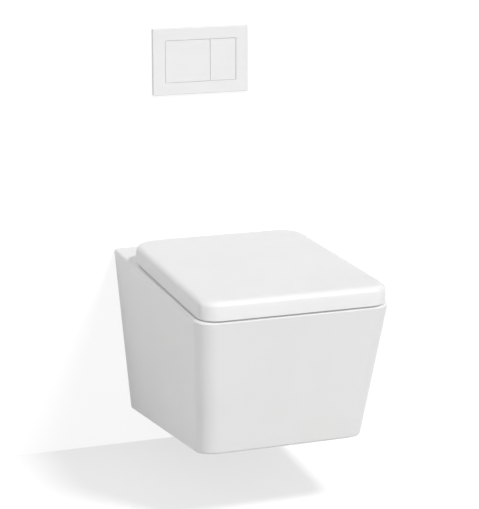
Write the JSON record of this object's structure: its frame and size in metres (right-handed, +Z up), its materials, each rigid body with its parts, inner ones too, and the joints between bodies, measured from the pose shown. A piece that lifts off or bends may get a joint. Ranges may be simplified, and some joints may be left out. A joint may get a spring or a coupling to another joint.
{
  "type": "wall-hung toilet",
  "caption": "Wall-hung toilet: box-shaped ceramic pan, seat, wrap-over lid, split flush plate, and the steel frame with concealed cistern and pipes that carries and flushes it.",
  "frame": {"origin": "on the floor line of the finished wall face, under the middle of the pan", "axes": "+Z up, -Y out of the wall into the room, +X to the right of a person facing the wall"},
  "size_m": [0.57, 0.739, 0.96],
  "materials": {
    "ceramic": "gloss white glaze",
    "seat_plastic": "gloss white thermoset",
    "plate_plastic": "gloss white",
    "rubber": "matte",
    "foam": "closed-cell foam, matte",
    "bare_steel": "zinc plated",
    "chromed": "polished",
    "frame_paint": "powder coated, satin",
    "tank_plastic": "blow-moulded polyethylene",
    "valve_plastic": "moulded",
    "plain_plastic": "moulded",
    "pipe_plastic": "polyethylene",
    "brass": "machined"
  },
  "bodies": {
    "frame": {"pan": "ceramic", "pan_bowl": "ceramic", "pan_trapway": "ceramic", "wall_gasket": "foam", "pan_bushes": "plain_plastic", "pan_nuts": "bare_steel", "threaded_rods": "bare_steel", "rod_nuts": "bare_steel", "rod_sleeves": "plain_plastic", "hinge_posts": "chromed", "hinge_pins": "chromed", "hinge_bolts": "bare_steel", "hinge_nuts": "plain_plastic", "flush_plate": "plate_plastic", "plate_carrier": "plain_plastic", "carrier_screws": "bare_steel", "lever_bracket": "valve_plastic", "lever_axle": "bare_steel", "flush_valve": "valve_plastic", "cistern_tank": "tank_plastic", "access_shaft": "tank_plastic", "cistern_seals": "rubber", "tank_back_nut": "plain_plastic", "union_nut": "plain_plastic", "supply_connector": "brass", "stop_valve": "brass", "supply_hose": "bare_steel", "fill_valve": "plain_plastic", "flush_bend": "pipe_plastic", "flush_connector": "plain_plastic", "flush_seals": "rubber", "waste_connector": "pipe_plastic", "waste_bend": "pipe_plastic", "waste_seals": "rubber", "waste_clamp": "bare_steel", "left_upright": "frame_paint", "right_upright": "frame_paint", "top_crossbar": "frame_paint", "pan_mounting_plate": "frame_paint", "lower_crossbar": "frame_paint", "frame_screws": "bare_steel", "wall_brackets": "bare_steel"},
    "seat": {"seat_ring": "seat_plastic", "seat_buffers": "rubber"},
    "lid": {"lid": "seat_plastic", "lid_buffers": "rubber"},
    "full_flush_button": {"full_button": "plate_plastic", "full_push_rod": "plain_plastic"},
    "half_flush_button": {"half_button": "plate_plastic", "half_push_rod": "plain_plastic"},
    "full_flush_lever": {"full_lever": "valve_plastic"},
    "half_flush_lever": {"half_lever": "valve_plastic"},
    "flush_tube": {"overflow_tube": "plain_plastic", "valve_seal": "rubber"},
    "half_rod": {"half_flush_rod": "plain_plastic"},
    "float": {"fill_float": "plain_plastic"},
    "float_arm": {"float_lever": "valve_plastic"},
    "stop_knob": {"stop_valve_knob": "valve_plastic"},
    "left_foot": {"left_leg": "bare_steel"},
    "right_foot": {"right_leg": "bare_steel"}
  },
  "joints": [
    {"name": "seat_hinge", "type": "hinge", "parent": "frame", "child": "seat", "pos_m": [0, -0.104, 0.4445], "axis": [1, 0, 0], "range_deg": [-96, 0]},
    {"name": "lid_hinge", "type": "hinge", "parent": "seat", "child": "lid", "pos_m": [0, -0.104, 0.4445], "axis": [-1, 0, 0], "range_deg": [0, 96]},
    {"name": "full_flush", "type": "slide", "parent": "frame", "child": "full_flush_button", "axis": [0, 1, 0], "range_m": [0, 0.006], "stiffness_N_per_m": 500, "springref_m": -0.002},
    {"name": "half_flush", "type": "slide", "parent": "frame", "child": "half_flush_button", "axis": [0, 1, 0], "range_m": [0, 0.006], "stiffness_N_per_m": 500, "springref_m": -0.002},
    {"name": "full_lever_turn", "type": "hinge", "parent": "frame", "child": "full_flush_lever", "pos_m": [-0.028, 0.052, 0.837], "axis": [1, 0, 0], "range_deg": [0, 11.9]},
    {"name": "half_lever_turn", "type": "hinge", "parent": "frame", "child": "half_flush_lever", "pos_m": [0.055, 0.052, 0.837], "axis": [1, 0, 0], "range_deg": [0, 11.9]},
    {"name": "valve_lift", "type": "slide", "parent": "frame", "child": "flush_tube", "axis": [0, 0, 1], "range_m": [0, 0.0092]},
    {"name": "half_rod_lift", "type": "slide", "parent": "frame", "child": "half_rod", "axis": [0, 0, 1], "range_m": [0, 0.0092]},
    {"name": "float_rise", "type": "slide", "parent": "frame", "child": "float", "axis": [0, 0, 1], "range_m": [0, 0.024]},
    {"name": "float_lever_turn", "type": "hinge", "parent": "frame", "child": "float_arm", "pos_m": [-0.158, 0.0725, 0.816], "axis": [0, -1, 0], "range_deg": [0, 30.5]},
    {"name": "stop_valve_turn", "type": "hinge", "parent": "frame", "child": "stop_knob", "pos_m": [-0.06, 0.058, 0.78], "axis": [0, 1, 0], "range_deg": [0, 90]},
    {"name": "left_leg_slide", "type": "slide", "parent": "frame", "child": "left_foot", "axis": [0, 0, 1], "range_m": [0, 0.12]},
    {"name": "right_leg_slide", "type": "slide", "parent": "frame", "child": "right_foot", "axis": [0, 0, 1], "range_m": [0, 0.12]}
  ],
  "couplings": [
    {"joint": "full_lever_turn", "follows": "full_flush", "rad_per_m": 33},
    {"joint": "valve_lift", "follows": "full_flush", "ratio": 1.5},
    {"joint": "half_lever_turn", "follows": "half_flush", "rad_per_m": 33},
    {"joint": "half_rod_lift", "follows": "half_flush", "ratio": 1.5},
    {"joint": "float_lever_turn", "follows": "float_rise", "rad_per_m": 21.8}
  ]
}
